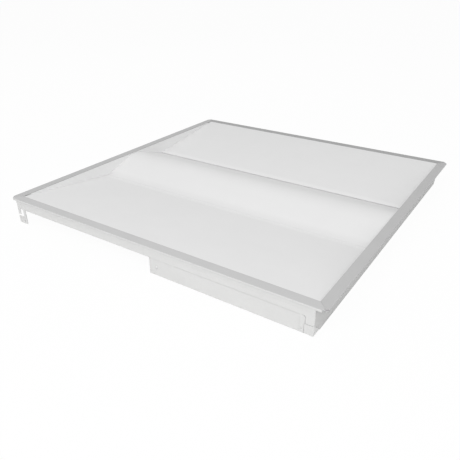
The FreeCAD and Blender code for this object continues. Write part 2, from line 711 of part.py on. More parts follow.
def driver_box():
    """The compartment's front, top flange, left end wall, right flap and screw tabs."""
    inner = BOX_X0 + SHEET
    path = [(-(FRONT_IN - BOX_LIP), WALL_DEPTH), (-LOWER_IN, WALL_DEPTH), (-LOWER_IN, HEIGHT)]
    front = folded(path, BOX_X0, END_IN, BOX_BEND)
    outline = [(-FRONT_IN, WALL_DEPTH), (STEP_Y - BEND, WALL_DEPTH), (STEP_Y, WALL_DEPTH + BEND),
               (STEP_Y, HEIGHT), (-FRONT_IN, HEIGHT)]
    left = plate_x(outline, BOX_X0, inner)
    entry = rod(vec(BOX_X0 - SHEET, BOX_MID_Y, HEIGHT - BOX_MID_DEPTH), vec(1, 0, 0), ENTRY_R, THROUGH)
    tab_top = WALL_DEPTH + SIDE_TAB_TOP
    tab = slab(inner, inner + SIDE_TAB, -FRONT_IN, -(FRONT_IN - SHEET), tab_top, tab_top + SIDE_TAB_HEIGHT)
    flap = slab(END_IN - SHEET, END_IN, -FRONT_IN, -FRONT_IN + END_FLAP, WALL_DEPTH, HEIGHT)
    tab_depth = HEIGHT - JOGGLE - 2.0 * SHEET
    pieces = [front, left.cut(entry), tab, flap]
    holes = []
    for x, y in cover_screw_places():
        pieces.append(slab(x - SCREW_TAB / 2.0, x + SCREW_TAB / 2.0, -FRONT_IN,
                           -(FRONT_IN - JOGGLE_WIDTH), tab_depth, tab_depth + SHEET))
        holes.append(post(x, y, COVER_SCREW_R + 2.0 * PLAY, tab_depth - SHEET, tab_depth + 2.0 * SHEET))
    box = joined(pieces)
    for hole in holes:
        box = box.cut(hole)
    rivet_hole = rod(vec(BOX_X0 + RIVET_IN, -HALF, HEIGHT - RIVET_DEPTH), vec(0, 1, 0),
                     RIVET_R + TAP_CLEAR, 2.0 * THROUGH)
    return box.cut(rivet_hole)


def box_rivet():
    """The rivet that holds the end wall's tab behind the front wall."""
    centre = vec(BOX_X0 + RIVET_IN, 0, HEIGHT - RIVET_DEPTH)
    toward = vec(0, 1, 0)
    shank = rod(centre.add(vec(0, -LOWER_IN, 0)), toward, RIVET_R, 2.0 * SHEET)
    tail = rod(centre.add(vec(0, -(FRONT_IN - SHEET), 0)), toward, RIVET_TAIL_R, RIVET_HEAD)
    crown = centre.add(vec(0, -LOWER_IN - RIVET_HEAD, 0))
    head = Part.makeCone(RIVET_R, RIVET_HEAD_R, RIVET_HEAD, crown, toward)
    return joined([head, shank, tail])


def entry_bushing():
    """The snap-in bushing in the conduit knock-out, with its through bore."""
    x = BOX_X0
    start = vec(x - ENTRY_FLANGE, BOX_MID_Y, HEIGHT - BOX_MID_DEPTH)
    along = vec(1, 0, 0)
    outer = rod(start, along, ENTRY_FLANGE_R, ENTRY_FLANGE)
    neck = rod(start, along, ENTRY_R - TAP_CLEAR, ENTRY_LENGTH)
    bore = rod(start.sub(vec(SHEET, 0, 0)), along, ENTRY_BORE_R, ENTRY_LENGTH + 2.0 * SHEET)
    return joined([outer, neck]).cut(bore)


def hinge_centres():
    """X of the two hinges."""
    return [BOX_X0 + HINGE_EDGE, END_IN - HINGE_EDGE]


def knuckle(x, length):
    """One knuckle of a hinge, centred on X, with its bore."""
    start = vec(x - length / 2.0, AXIS_Y, AXIS_HEIGHT)
    return rod(start, vec(1, 0, 0), HINGE_R, length)


def hinge_bore(x):
    """The hole for one hinge pin."""
    reach = 2.0 * KNUCKLE
    return rod(vec(x - reach, AXIS_Y, AXIS_HEIGHT), vec(1, 0, 0), PIN_R + PIN_CLEAR, 2.0 * reach)


def hinge_leaf(x):
    """The fixed leaf of one hinge, welded to the pan's step."""
    half = 1.5 * KNUCKLE + KNUCKLE_GAP
    leaf = Part.makeBox(2.0 * half, SHEET, LEAF_TOP - LEAF_BOTTOM, vec(x - half, STEP_Y - SHEET, LEAF_BOTTOM))
    arm_low = AXIS_HEIGHT + HINGE_R - SHEET
    arm = Part.makeBox(KNUCKLE, STEP_Y - AXIS_Y, LEAF_BOTTOM + SHEET - arm_low,
                       vec(x - KNUCKLE / 2.0, AXIS_Y, arm_low))
    return joined([leaf, arm, knuckle(x, KNUCKLE)]).cut(hinge_bore(x))


def hinge_pin(x):
    """One hinge pin with a small head."""
    half = 1.5 * KNUCKLE + KNUCKLE_GAP
    shank = rod(vec(x - half, AXIS_Y, AXIS_HEIGHT), vec(1, 0, 0), PIN_R, 2.0 * half)
    head = rod(vec(x - half - SHEET, AXIS_Y, AXIS_HEIGHT), vec(1, 0, 0), PIN_HEAD_R, SHEET)
    return joined([head, shank])


def driver_cover():
    """The compartment's cover with its raised, screwed edge and its knuckles."""
    x0 = BOX_X0 + SHEET + COVER_PLAY
    x1 = END_IN - SHEET - COVER_PLAY
    near = -(FRONT_IN - COVER_PLAY)
    riser = -(FRONT_IN - JOGGLE_WIDTH)
    edge = AXIS_Y - COVER_EDGE
    path = [(near, HEIGHT - JOGGLE), (riser, HEIGHT - JOGGLE), (riser + SHEET, HEIGHT), (edge, HEIGHT)]
    cover = folded(path, x0, x1, COVER_BEND)
    for x in hinge_centres():
        notch = 0.5 * KNUCKLE + KNUCKLE_GAP
        cover = cover.cut(Part.makeBox(2.0 * notch, HINGE_R + PLAY, 2.0 * SHEET,
                                       vec(x - notch, AXIS_Y - HINGE_R - PLAY, -SHEET / 2.0)))
        for side in (-1, 1):
            centre = x + side * (KNUCKLE + KNUCKLE_GAP)
            arm = Part.makeBox(KNUCKLE, 2.0 * COVER_EDGE, SHEET,
                               vec(centre - KNUCKLE / 2.0, AXIS_Y - 2.0 * COVER_EDGE, 0))
            cover = cover.fuse(joined([arm, knuckle(centre, KNUCKLE)]))
        cover = cover.cut(hinge_bore(x))
    for x, y in cover_screw_places():
        cover = cover.cut(post(x, y, COVER_SCREW_R + TAP_CLEAR, HEIGHT - 3.0 * JOGGLE, HEIGHT))
    return cover.removeSplitter()


def cover_screw(x, y):
    """A captive cover screw, its head inside the raised edge's recess."""
    low = JOGGLE - COVER_SCREW_HEAD
    head = Part.makeCylinder(COVER_SCREW_HEAD_R, COVER_SCREW_HEAD, vec(x, y, low))
    slot = Part.makeBox(2.0 * COVER_SCREW_HEAD_R, SHEET, COVER_SCREW_SLOT,
                        vec(x - COVER_SCREW_HEAD_R, y - SHEET / 2.0, low))
    shank = Part.makeCylinder(COVER_SCREW_R, COVER_SCREW_LENGTH, vec(x, y, JOGGLE))
    return joined([head, shank]).cut(slot)


def build_compartment():
    save("driver_box", driver_box())
    save("box_rivet", box_rivet())
    save("entry_bushing", entry_bushing())
    save("hinge_leaves", *[hinge_leaf(x) for x in hinge_centres()])
    save("hinge_pins", *[hinge_pin(x) for x in hinge_centres()])
    save("driver_cover", driver_cover())
    save("cover_screws", *[cover_screw(x, y) for x, y in cover_screw_places()])


# ---- driver, terminals and leads ----

def driver():
    """The driver: a case with rounded long edges and an ear at each end."""
    case = slab(DRIVER_X0, DRIVER_X1, BOX_MID_Y - DRIVER_WIDTH / 2.0, BOX_MID_Y + DRIVER_WIDTH / 2.0,
                WALL_DEPTH, DRIVER_BOTTOM)
    low_edges = [e for e in case.Edges if e.BoundBox.ZMax < HEIGHT - DRIVER_BOTTOM + TOLERANCE]
    case = case.makeFillet(DRIVER_EDGE, low_edges)
    ears = []
    for x, y in driver_screw_places():
        ears.append(slab(x - EAR / 2.0, x + EAR / 2.0, y - EAR_WIDTH / 2.0, y + EAR_WIDTH / 2.0,
                         WALL_DEPTH, WALL_DEPTH + EAR_THICK))
    solid = joined([case] + ears)
    for x, y in driver_screw_places():
        solid = solid.cut(post(x, y, SCREW_R + TAP_CLEAR, WALL_DEPTH - SHEET, WALL_DEPTH + 2.0 * EAR_THICK))
    return solid


def driver_screw(x, y):
    """A screw through a driver's ear into the pan's shelf, head downwards."""
    seat = WALL_DEPTH + EAR_THICK
    head = post(x, y, SCREW_HEAD_R, seat, seat + SCREW_HEAD)
    return joined([head, post(x, y, SCREW_R, WALL_DEPTH - 2.0 * SHEET, seat)])


def pole_places():
    """Y of the terminal block's poles."""
    return [BOX_MID_Y + WIRE_PITCH * (i - (POLES - 1) / 2.0) for i in range(POLES)]


def wire_depth():
    """Depth of the leads' middle line."""
    return WALL_DEPTH + TERMINAL_HEIGHT / 2.0 + EAR_THICK


def terminal_block():
    """The terminal block, with a wire port at both ends of each pole."""
    block = slab(TERMINAL_X0, TERMINAL_X1, BOX_MID_Y - TERMINAL_WIDTH / 2.0, BOX_MID_Y + TERMINAL_WIDTH / 2.0,
                 WALL_DEPTH, WALL_DEPTH + TERMINAL_HEIGHT)
    for y in pole_places():
        z = HEIGHT - wire_depth()
        block = block.cut(rod(vec(TERMINAL_X0, y, z), vec(1, 0, 0), PORT_R, PORT_DEEP))
        block = block.cut(rod(vec(TERMINAL_X1, y, z), vec(-1, 0, 0), PORT_R, PORT_DEEP))
    return block


def supply_lead(y):
    """A straight lead from a pole of the terminal block to the driver."""
    start = TERMINAL_X1 - PORT_DEEP
    return rod(vec(start, y, HEIGHT - wire_depth()), vec(1, 0, 0), WIRE_R, DRIVER_X0 - start)


def feed_cable():
    """The cable from the driver through the pan's step to the near light board."""
    y0 = BOX_MID_Y + CABLE_SIDE
    z0 = HEIGHT - CABLE_EXIT_DEPTH
    z1 = HEIGHT - CABLE_DEPTH
    drop = CABLE_DEPTH - CABLE_EXIT_DEPTH
    y2 = STEP_Y + 2.0 * CABLE_BEND
    points = [vec(DRIVER_X1, y0, z0), vec(FEED_X, y0, z0), vec(FEED_X, y2, z0),
              vec(FEED_X, y2 + drop, z1), vec(FEED_X, -PLUG_Y_OUT - TAP_CLEAR, z1)]
    return tube(points, CABLE_R, CABLE_BEND)


def step_grommet():
    """The grommet round the cable where it passes the pan's step."""
    centre = vec(FEED_X, STEP_Y - GROMMET_FLANGE, HEIGHT - CABLE_EXIT_DEPTH)
    along = vec(0, 1, 0)
    near = rod(centre, along, GROMMET_FLANGE_R, GROMMET_FLANGE)
    neck = rod(centre, along, GROMMET_R - TAP_CLEAR, SHEET + 2.0 * GROMMET_FLANGE)
    far = rod(centre.add(vec(0, GROMMET_FLANGE + SHEET, 0)), along, GROMMET_FLANGE_R, GROMMET_FLANGE)
    bore = rod(centre.sub(vec(0, SHEET, 0)), along, CABLE_R + TAP_CLEAR, 3.0 * SHEET + 2.0 * GROMMET_FLANGE)
    return joined([near, neck, far]).cut(bore)


def cable_clip(y):
    """A clip on the pan's floor that holds the feed cable."""
    half = CABLE_R + CABLE_CLIP_WALL
    body = slab(FEED_X - half, FEED_X + half, y - CABLE_CLIP / 2.0, y + CABLE_CLIP / 2.0,
                CABLE_DEPTH - half, PAN_FLOOR)
    start = vec(FEED_X, y - CABLE_CLIP, HEIGHT - CABLE_DEPTH)
    bore = rod(start, vec(0, 1, 0), CABLE_R + TAP_CLEAR, 2.0 * CABLE_CLIP)
    return body.cut(bore)


def build_electrics():
    save("driver", driver())
    save("driver_screws", *[driver_screw(x, y) for x, y in driver_screw_places()])
    save("terminal_block", terminal_block())
    for name, y in zip(("line", "neutral", "earth"), pole_places()):
        save("supply_lead_" + name, supply_lead(y))
    save("feed_cable", feed_cable())
    save("step_grommet", step_grommet())
    run = -RAIL_Y - (STEP_Y + 4.0 * CABLE_BEND)
    clips = [STEP_Y + 4.0 * CABLE_BEND + run * share for share in (0.25, 0.75)]
    save("cable_clips", *[cable_clip(y) for y in clips])
    gap = PLUG_Y_IN - TAP_CLEAR
    link = rod(vec(LINK_X, -gap, HEIGHT - CABLE_DEPTH), vec(0, 1, 0), CABLE_R, 2.0 * gap)
    save("link_cable", link)


os.makedirs("parts", exist_ok=True)
build_rim()
build_walls()
build_pan()
build_end_plates()
build_optics()
build_boards()
build_compartment()
build_electrics()
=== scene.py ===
"""Looks of a recessed lay-in ceiling light, lying with its light face up on a pale floor."""

import json
import logging
import math
from dataclasses import dataclass, field
from enum import Enum

import bmesh
import bpy
from mathutils import Matrix, Vector


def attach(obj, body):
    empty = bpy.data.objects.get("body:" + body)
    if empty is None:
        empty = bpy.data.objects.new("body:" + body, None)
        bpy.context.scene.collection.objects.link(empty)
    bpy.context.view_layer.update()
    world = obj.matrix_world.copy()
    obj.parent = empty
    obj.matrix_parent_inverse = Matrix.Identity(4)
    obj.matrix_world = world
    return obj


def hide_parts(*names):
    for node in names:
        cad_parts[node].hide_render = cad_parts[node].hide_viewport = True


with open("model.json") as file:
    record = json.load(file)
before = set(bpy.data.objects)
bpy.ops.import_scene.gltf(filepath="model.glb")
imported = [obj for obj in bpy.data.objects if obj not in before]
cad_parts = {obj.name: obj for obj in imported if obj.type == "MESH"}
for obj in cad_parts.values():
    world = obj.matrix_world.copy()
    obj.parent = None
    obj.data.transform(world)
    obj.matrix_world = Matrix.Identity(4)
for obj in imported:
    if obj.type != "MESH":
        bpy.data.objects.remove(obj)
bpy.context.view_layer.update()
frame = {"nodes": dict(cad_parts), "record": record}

MM = 0.001
FULL_TURN = 2.0 * math.pi
TURN_STEPS = 24
SMALL_TURN_STEPS = 20

# The side of the photograph in pixels, and of the camera's sensor in millimetres.
PHOTO_SIDE = 460.0
SENSOR = 36.0

# The patterns of the finishes. Sizes are in metres, ends are a range's lowest and highest value.
EDGE_SAMPLES = 4
EDGE_COSINES = (0.995, 0.85)
NOISE_ENDS = (0.3, 0.7)
FEW_LAYERS = 2.0
MORE_LAYERS = 3.0
SPANGLE_SIZE = 0.009
SPANGLE_SHARE = 0.12
WEAR_SIZE = 0.006
WEAR_ENDS = (0.35, 1.0)
GLOSS_PATCH = 0.6
GLOSS_SPREAD = 0.04

# The tolerances of the meshes in metres, and the least cosine of a face that looks straight out.
WELD = 1e-7
SHEET_WELD = 1e-6
END_TOLERANCE = 1e-5
CUT_TOLERANCE = 1e-8
FACING = 0.9

log = logging.getLogger("ceiling_light")
logging.basicConfig(level=logging.INFO, format="%(message)s")

Colour = tuple[float, float, float]
Triple = tuple[float, float, float]
Pair = tuple[float, float]
Profile = tuple[Pair, ...]
Socket = bpy.types.NodeSocket
Verts = list[bmesh.types.BMVert]


def new_node(tree: bpy.types.NodeTree, kind: str, **options: str | int) -> bpy.types.Node:
    """Adds a node to a tree.

    Args:
        tree: The tree to add to.
        kind: The node's type.
        options: The node's settings, such as its operation.

    Returns:
        The node.
    """
    node = tree.nodes.new(kind)
    for name, value in options.items():
        setattr(node, name, value)
    return node


def feed(tree: bpy.types.NodeTree, socket: Socket, value: Socket | Colour | float) -> None:
    """Joins an input to a pattern, or sets it to a constant.

    Args:
        tree: The tree that holds the input.
        socket: The input.
        value: The pattern, the colour or the number.
    """
    if isinstance(value, Socket):
        tree.links.new(value, socket)
    else:
        socket.default_value = (*value, 1.0) if isinstance(value, tuple) else value


def maths(tree: bpy.types.NodeTree, operation: str, *values: Socket | float) -> Socket:
    """Reckons with patterns and numbers.

    Args:
        tree: The tree to build in.
        operation: The name of the operation.
        values: What it works on, in its order.

    Returns:
        The result.
    """
    node = new_node(tree, "ShaderNodeMath", operation=operation)
    for socket, value in zip(node.inputs, values):
        feed(tree, socket, value)
    return node.outputs[0]


class Grain(Enum):
    """How a finish's grain lies: its share of the scale along each axis."""

    EVEN = (1.0, 1.0, 1.0)
    ROLLED = (0.05, 1.0, 1.0)


@dataclass(frozen=True)
class Finish:
    """One finish: its colour, its gloss and the size of its grain.

    The grain's size is the wave length of the bump in metres, and its height is in metres too.
    Along its edges the colour is multiplied by the edge tone, where the coat is thin or rubbed.
    A painted lit colour, painted light, covers what lies nearer to the origin along its axis than
    its reach.
    From the painted valley's start to its end along Y, towards the valley between two sheets, the
    colour goes over to the share of it that the painted valley tone says: painted shade where that
    tone is below 1, painted light where it is above.
    """

    name: str
    colour: Colour
    grain: Grain = Grain.EVEN
    roughness: float = 0.5
    metallic: float = 0.0
    specular: float = 0.5
    grain_size: float = 0.0012
    grain_height: float = 0.00002
    mottle: float = 0.03
    mottle_size: float = 0.05
    edge_radius: float = 0.0004
    edge_tone: float = 1.06
    edge_gloss: float = -0.05
    painted_lit_colour: Colour | None = None
    painted_lit_axis: str = "X"
    painted_lit_reach: float = 0.0
    painted_valley_tone: float = 1.0
    painted_valley_start: float = 0.0
    painted_valley_end: float = 0.0

    def material(self) -> bpy.types.Material:
        """Returns the finish's material, made on its first use."""
        found = bpy.data.materials.get(self.name)
        return found if found else FinishBuilder(self).build()


class FinishBuilder:
    """Builds the nodes of one finish."""

    def __init__(self, finish: Finish) -> None:
        """Starts an empty material.

        Args:
            finish: The finish to build.
        """
        self.finish = finish
        self.material = bpy.data.materials.new(finish.name)
        self.material.use_nodes = True
        self.tree = self.material.node_tree
        self.shader = self.tree.nodes["Principled BSDF"]
        self.place = new_node(self.tree, "ShaderNodeTexCoord").outputs["Object"]
        bevel = new_node(self.tree, "ShaderNodeBevel", samples=EDGE_SAMPLES)
        bevel.inputs["Radius"].default_value = finish.edge_radius
        self.rounded = bevel.outputs["Normal"]
        self.edge = self.edge_factor()

    def build(self) -> bpy.types.Material:
        """Sets the shader's sockets and joins the patterns.

        Returns:
            The finished material.
        """
        self.shader.inputs["Metallic"].default_value = self.finish.metallic
        self.shader.inputs["Specular IOR Level"].default_value = self.finish.specular
        self.tint()
        self.gloss()
        self.bump()
        return self.material

    def edge_factor(self) -> Socket:
        """Finds the edges, from how far the rounded normal leans from the face's own.

        Returns:
            A factor of 0 on a flat face and 1 on an edge.
        """
        face = new_node(self.tree, "ShaderNodeNewGeometry").outputs["Normal"]
        dot = new_node(self.tree, "ShaderNodeVectorMath", operation="DOT_PRODUCT")
        self.tree.links.new(self.rounded, dot.inputs[0])
        self.tree.links.new(face, dot.inputs[1])
        return self.ranged(dot.outputs["Value"], EDGE_COSINES)

    def noise(self, size: float, layers: float, grain: Grain = Grain.EVEN) -> Socket:
        """A noise pattern.

        Args:
            size: The length of one wave in metres.
            layers: The number of finer layers.
            grain: How it lies.

        Returns:
            The pattern's factor.
        """
        mapping = new_node(self.tree, "ShaderNodeMapping")
        mapping.inputs["Scale"].default_value = grain.value
        self.tree.links.new(self.place, mapping.inputs["Vector"])
        node = new_node(self.tree, "ShaderNodeTexNoise")
        node.inputs["Scale"].default_value = 1.0 / size
        node.inputs["Detail"].default_value = layers
        self.tree.links.new(mapping.outputs["Vector"], node.inputs["Vector"])
        return node.outputs["Fac"]

    def ranged(self, factor: Socket, ends: Pair, results: Pair = (0.0, 1.0)) -> Socket:
        """Maps one range onto another, held at its ends.

        Args:
            factor: The pattern.
            ends: The pattern's values at the range's two ends.
            results: The values that these two become.

        Returns:
            The mapped pattern.
        """
        node = new_node(self.tree, "ShaderNodeMapRange")
        names = ("From Min", "From Max", "To Min", "To Max")
        for name, value in zip(names, (*ends, *results)):
            node.inputs[name].default_value = value
        self.tree.links.new(factor, node.inputs["Value"])
        return node.outputs["Result"]

    def mixed(self, factor: Socket | float, first: Socket | Colour, second: Socket | Colour,
              blend: str = "MIX") -> Socket:
        """Mixes two colours.

        Args:
            factor: The second colour's share.
            first: The colour where the factor is 0.
            second: The colour that is mixed in.
            blend: How it is mixed in.

        Returns:
            The mixed colour.
        """
        node = new_node(self.tree, "ShaderNodeMix", data_type="RGBA", blend_type=blend)
        for name, value in (("Factor", factor), ("A", first), ("B", second)):
            feed(self.tree, node.inputs[name], value)
        return node.outputs["Result"]

    def distance(self, axis: str) -> Socket:
        """Measures how far a point is from the origin along an axis.

        Args:
            axis: The axis's letter.

        Returns:
            The distance in metres.
        """
        split = new_node(self.tree, "ShaderNodeSeparateXYZ")
        self.tree.links.new(self.place, split.inputs["Vector"])
        return maths(self.tree, "ABSOLUTE", split.outputs[axis])

    def tint(self) -> None:
        """Gives the colour its slight mottle and what else the finish asks for."""
        finish = self.finish
        dark = tuple(c * (1.0 - finish.mottle) for c in finish.colour)
        patches = self.ranged(self.noise(finish.mottle_size, FEW_LAYERS), NOISE_ENDS)
        colour = self.mixed(patches, dark, finish.colour)
        if finish.grain is Grain.ROLLED:
            colour = self.spangle(colour)
        # Painted light: the faces within reach get a lighter colour than the rest.
        if finish.painted_lit_colour:
            colour = self.painted_lit_tint(colour, finish.painted_lit_colour)
        # Painted shade or painted light, softly towards the valley between two sheets.
        if finish.painted_valley_tone != 1.0:
            colour = self.foot(colour)
        self.tree.links.new(self.worn(colour), self.shader.inputs["Base Color"])

    def spangle(self, colour: Socket) -> Socket:
        """Breaks the colour up into the flat crystals of a zinc coat.

        Args:
            colour: The colour without them.

        Returns:
            The colour with them.
        """
        cells = new_node(self.tree, "ShaderNodeTexVoronoi")
        cells.inputs["Scale"].default_value = 1.0 / SPANGLE_SIZE
        self.tree.links.new(self.place, cells.inputs["Vector"])
        return self.mixed(SPANGLE_SHARE, colour, cells.outputs["Color"], "MULTIPLY")

    def painted_lit_tint(self, colour: Socket, second: Colour) -> Socket:
        """Paints light on the faces within the painted lit reach, as a lighter colour.

        Args:
            colour: The colour everywhere else.
            second: The painted lit colour of the faces within reach.

        Returns:
            The joined colour.
        """
        away = self.distance(self.finish.painted_lit_axis)
        near = maths(self.tree, "LESS_THAN", away, self.finish.painted_lit_reach)
        return self.mixed(near, colour, second)

    def foot(self, colour: Socket) -> Socket:
        """Paints shade or light into the colour, softly towards the valley between two sheets.

        Args:
            colour: The colour away from the valley.

        Returns:
            The joined colour.
        """
        finish = self.finish
        near = self.ranged(self.distance("Y"), (finish.painted_valley_start, finish.painted_valley_end))
        return self.toned(colour, near, finish.painted_valley_tone)

    def toned(self, colour: Socket, factor: Socket, tone: float) -> Socket:
        """Multiplies the colour by a tone where the factor is 1.

        Args:
            colour: The colour where the factor is 0.
            factor: Where the tone applies.
            tone: The share of the colour that is left.

        Returns:
            The joined colour.
        """
        scaled = new_node(self.tree, "ShaderNodeVectorMath", operation="SCALE")
        scaled.inputs["Scale"].default_value = tone
        self.tree.links.new(colour, scaled.inputs[0])
        return self.mixed(factor, colour, scaled.outputs["Vector"])

    def worn(self, colour: Socket) -> Socket:
        """Thins or rubs the colour along the edges, unevenly.

        Args:
            colour: The colour of the flat faces.

        Returns:
            The colour with its edges.
        """
        patches = self.ranged(self.noise(WEAR_SIZE, MORE_LAYERS), NOISE_ENDS, WEAR_ENDS)
        patchy = maths(self.tree, "MULTIPLY", self.edge, patches)
        return self.toned(colour, patchy, self.finish.edge_tone)

    def gloss(self) -> None:
        """Varies the roughness a little over the surface and along the edges."""
        finish = self.finish
        patches = self.noise(finish.mottle_size * GLOSS_PATCH, MORE_LAYERS)
        ends = (finish.roughness - GLOSS_SPREAD, finish.roughness + GLOSS_SPREAD)
        flat = self.ranged(patches, NOISE_ENDS, ends)
        rubbed = maths(self.tree, "MULTIPLY_ADD", self.edge, finish.edge_gloss, flat)
        self.tree.links.new(rubbed, self.shader.inputs["Roughness"])

    def bump(self) -> None:
        """Adds the grain as a bump over the rounded edges."""
        finish = self.finish
        node = new_node(self.tree, "ShaderNodeBump")
        node.inputs["Distance"].default_value = finish.grain_height
        node.inputs["Strength"].default_value = 1.0
        grain = self.noise(finish.grain_size, FEW_LAYERS, finish.grain)
        self.tree.links.new(grain, node.inputs["Height"])
        self.tree.links.new(self.rounded, node.inputs["Normal"])
        self.tree.links.new(node.outputs["Normal"], self.shader.inputs["Normal"])


# Painted shade and light: the rim's top is a darker grey and its lip, below the top, a lighter
# one, though both are one paint.
RIM = Finish("rim_paint_painted_shade_and_lit_lip", (0.545, 0.545, 0.545), roughness=0.5, specular=0.08,
             painted_lit_colour=(0.66, 0.66, 0.655), painted_lit_axis="Z", painted_lit_reach=0.0447)
# Painted shade: the rim's left and right rails get a darker copy of the rim's paint.
RIM_SIDE_PAINTED_SHADE = Finish("rim_side_painted_shade", (0.505, 0.505, 0.505), roughness=0.5, specular=0.08)
# Painted shade: the far rail gets a still darker copy of the rim's paint.
RIM_FAR_PAINTED_SHADE = Finish("rim_far_painted_shade", (0.42, 0.42, 0.42), roughness=0.55, specular=0.04)
WHITE = Finish("white_powder_coat", (0.69, 0.69, 0.685), roughness=0.5, specular=0.25)
# Painted light and shade: the end plates' inner faces get a lighter colour, and their outer faces
# under the rim's overhang a darker one.
END_PLATE = Finish("end_plate_painted_light_shade", (0.55, 0.55, 0.545), roughness=0.5, specular=0.25,
                   painted_lit_colour=(0.83, 0.83, 0.83), painted_lit_reach=0.2861)
# Painted light: the reflector sheets grow lighter towards the valley by the diffuser.
REFLECTOR = Finish("matte_white_reflector", (0.77, 0.77, 0.77), roughness=0.75, specular=0.2,
                   mottle=0.012, painted_valley_tone=1.06, painted_valley_start=0.1, painted_valley_end=0.087)
# Painted shade: the diffuser grows darker towards its feet in the valley.
DIFFUSER = Finish("frosted_white_diffuser", (0.755, 0.755, 0.755), roughness=0.6, specular=0.25,
                  mottle=0.012, painted_valley_tone=0.925, painted_valley_start=0.068, painted_valley_end=0.087)
GALVANISED = Finish("galvanised_sheet", (0.60, 0.61, 0.62), Grain.ROLLED,
                    roughness=0.4, metallic=0.9)
ZINC = Finish("zinc_fastener", (0.55, 0.55, 0.56), Grain.ROLLED, roughness=0.35, metallic=0.95)
BOARD = Finish("white_solder_mask", (0.78, 0.79, 0.78), roughness=0.35)
CHIP = Finish("phosphor_chip", (0.80, 0.62, 0.16), roughness=0.3)
NYLON = Finish("cream_nylon", (0.74, 0.73, 0.68), roughness=0.4)
BLACK_NYLON = Finish("black_nylon", (0.025, 0.025, 0.025), roughness=0.4)
RIVET_METAL = Finish("tumbled_aluminium", (0.68, 0.68, 0.68), roughness=0.55, metallic=0.3)
BRASS = Finish("nickelled_brass", (0.72, 0.60, 0.36), roughness=0.3, metallic=1.0)
DRIVER = Finish("driver_case_enamel", (0.70, 0.71, 0.72), roughness=0.4)
SHEATH = Finish("grey_cable_sheath", (0.58, 0.58, 0.58), roughness=0.5)
BROWN = Finish("brown_lead", (0.13, 0.05, 0.02), roughness=0.4)
BLUE = Finish("blue_lead", (0.02, 0.10, 0.45), roughness=0.4)
GREEN = Finish("green_lead", (0.05, 0.30, 0.07), roughness=0.4)

SLOT_FINISH: dict[str, Finish] = {
    "rim_enamel": RIM, "white_enamel": WHITE, "reflector_white": REFLECTOR,
    "frosted_diffuser": DIFFUSER, "galvanised": GALVANISED, "zinc_fastener": ZINC,
    "board_solder_mask": BOARD, "light_chip": CHIP, "connector_nylon": NYLON,
    "driver_enamel": DRIVER, "black_nylon": BLACK_NYLON, "cable_sheath": SHEATH,
    "lead_brown": BROWN, "lead_blue": BLUE, "lead_green": GREEN,
}

# The end plates and the rim's left, right and far rails get copies of their paint with painted
# light and shade.
NODE_FINISH: dict[str, Finish] = {
    "left_end_plate": END_PLATE, "right_end_plate": END_PLATE,
    "rim_left": RIM_SIDE_PAINTED_SHADE, "rim_right": RIM_SIDE_PAINTED_SHADE, "rim_far": RIM_FAR_PAINTED_SHADE,
}


def dress_nodes() -> None:
    """Gives every node its own finish, or else the finish of its slot in the record."""
    for part in frame["record"]["subparts"]:
        node = frame["nodes"][part["node"]]
        finish = NODE_FINISH.get(part["node"], SLOT_FINISH[part["material_slot"]])
        node.data.materials.clear()
        node.data.materials.append(finish.material())
        log.info("dressed %s", part["node"])


class Body(Enum):
    """The bodies that the detail pieces ride on."""

    FITTING = "fitting"
    COVER = "compartment_cover"


@dataclass(frozen=True)
class Piece:
    """What a detail piece is called, what it rides on and what it is made of."""

    name: str
    body: Body
    finish: Finish
    slot: str
    replaced: str = ""

    def keep(self, shape: bmesh.types.BMesh, sharp: float = 0.6) -> bpy.types.Object:
        """Makes the object of a finished shape and lets it ride on its body.

        Args:
            shape: The shape in metres, which is freed.
            sharp: The angle in radians above which an edge stays sharp.

        Returns:
            The piece.
        """
        bmesh.ops.remove_doubles(shape, verts=shape.verts, dist=WELD)
        bmesh.ops.recalc_face_normals(shape, faces=shape.faces)
        for face in shape.faces:
            face.smooth = True
        for edge in shape.edges:
            edge.smooth = edge.calc_face_angle(0.0) < sharp
        mesh = bpy.data.meshes.new(self.name)
        shape.to_mesh(mesh)
        shape.free()
        mesh.materials.append(self.finish.material())
        piece = bpy.data.objects.new(self.name, mesh)
        bpy.context.scene.collection.objects.link(piece)
        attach(piece, self.body.value)
        if self.replaced:
            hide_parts(self.replaced)
        log.info("made %s: %d faces", self.name, len(mesh.polygons))
        return piece


def moved(profile: Profile, radius: float, height: float) -> list[Pair]:
    """Moves a profile out to a radius and up to a height.

    Args:
        profile: Pairs of a radius and a height.
        radius: What is added to each radius.
        height: What is added to each height.

    Returns:
        The moved pairs.
    """
    return [(radius + out, height + rise) for out, rise in profile]


def spun(shape: bmesh.types.BMesh, outline: list[Pair], centre: Vector, axis: Vector,
         steps: int = TURN_STEPS) -> Verts:
    """Turns an outline once round an axis.

    Args:
        shape: The shape to add to.
        outline: Pairs in millimetres: the radius, and the height along the axis.
        centre: The point at height 0, in metres.
        axis: The axis's unit direction.
        steps: The number of steps of a full turn.

    Returns:
        The new vertices.
    """
    before = set(shape.verts)
    side = axis.orthogonal().normalized()
    line = [shape.verts.new(centre + MM * radius * side + MM * height * axis)
            for radius, height in outline]
    edges = [shape.edges.new(pair) for pair in zip(line, line[1:])]
    bmesh.ops.spin(shape, geom=line + edges, cent=centre, axis=axis, angle=FULL_TURN,
                   steps=steps, use_merge=True)
    return [vert for vert in shape.verts if vert not in before]


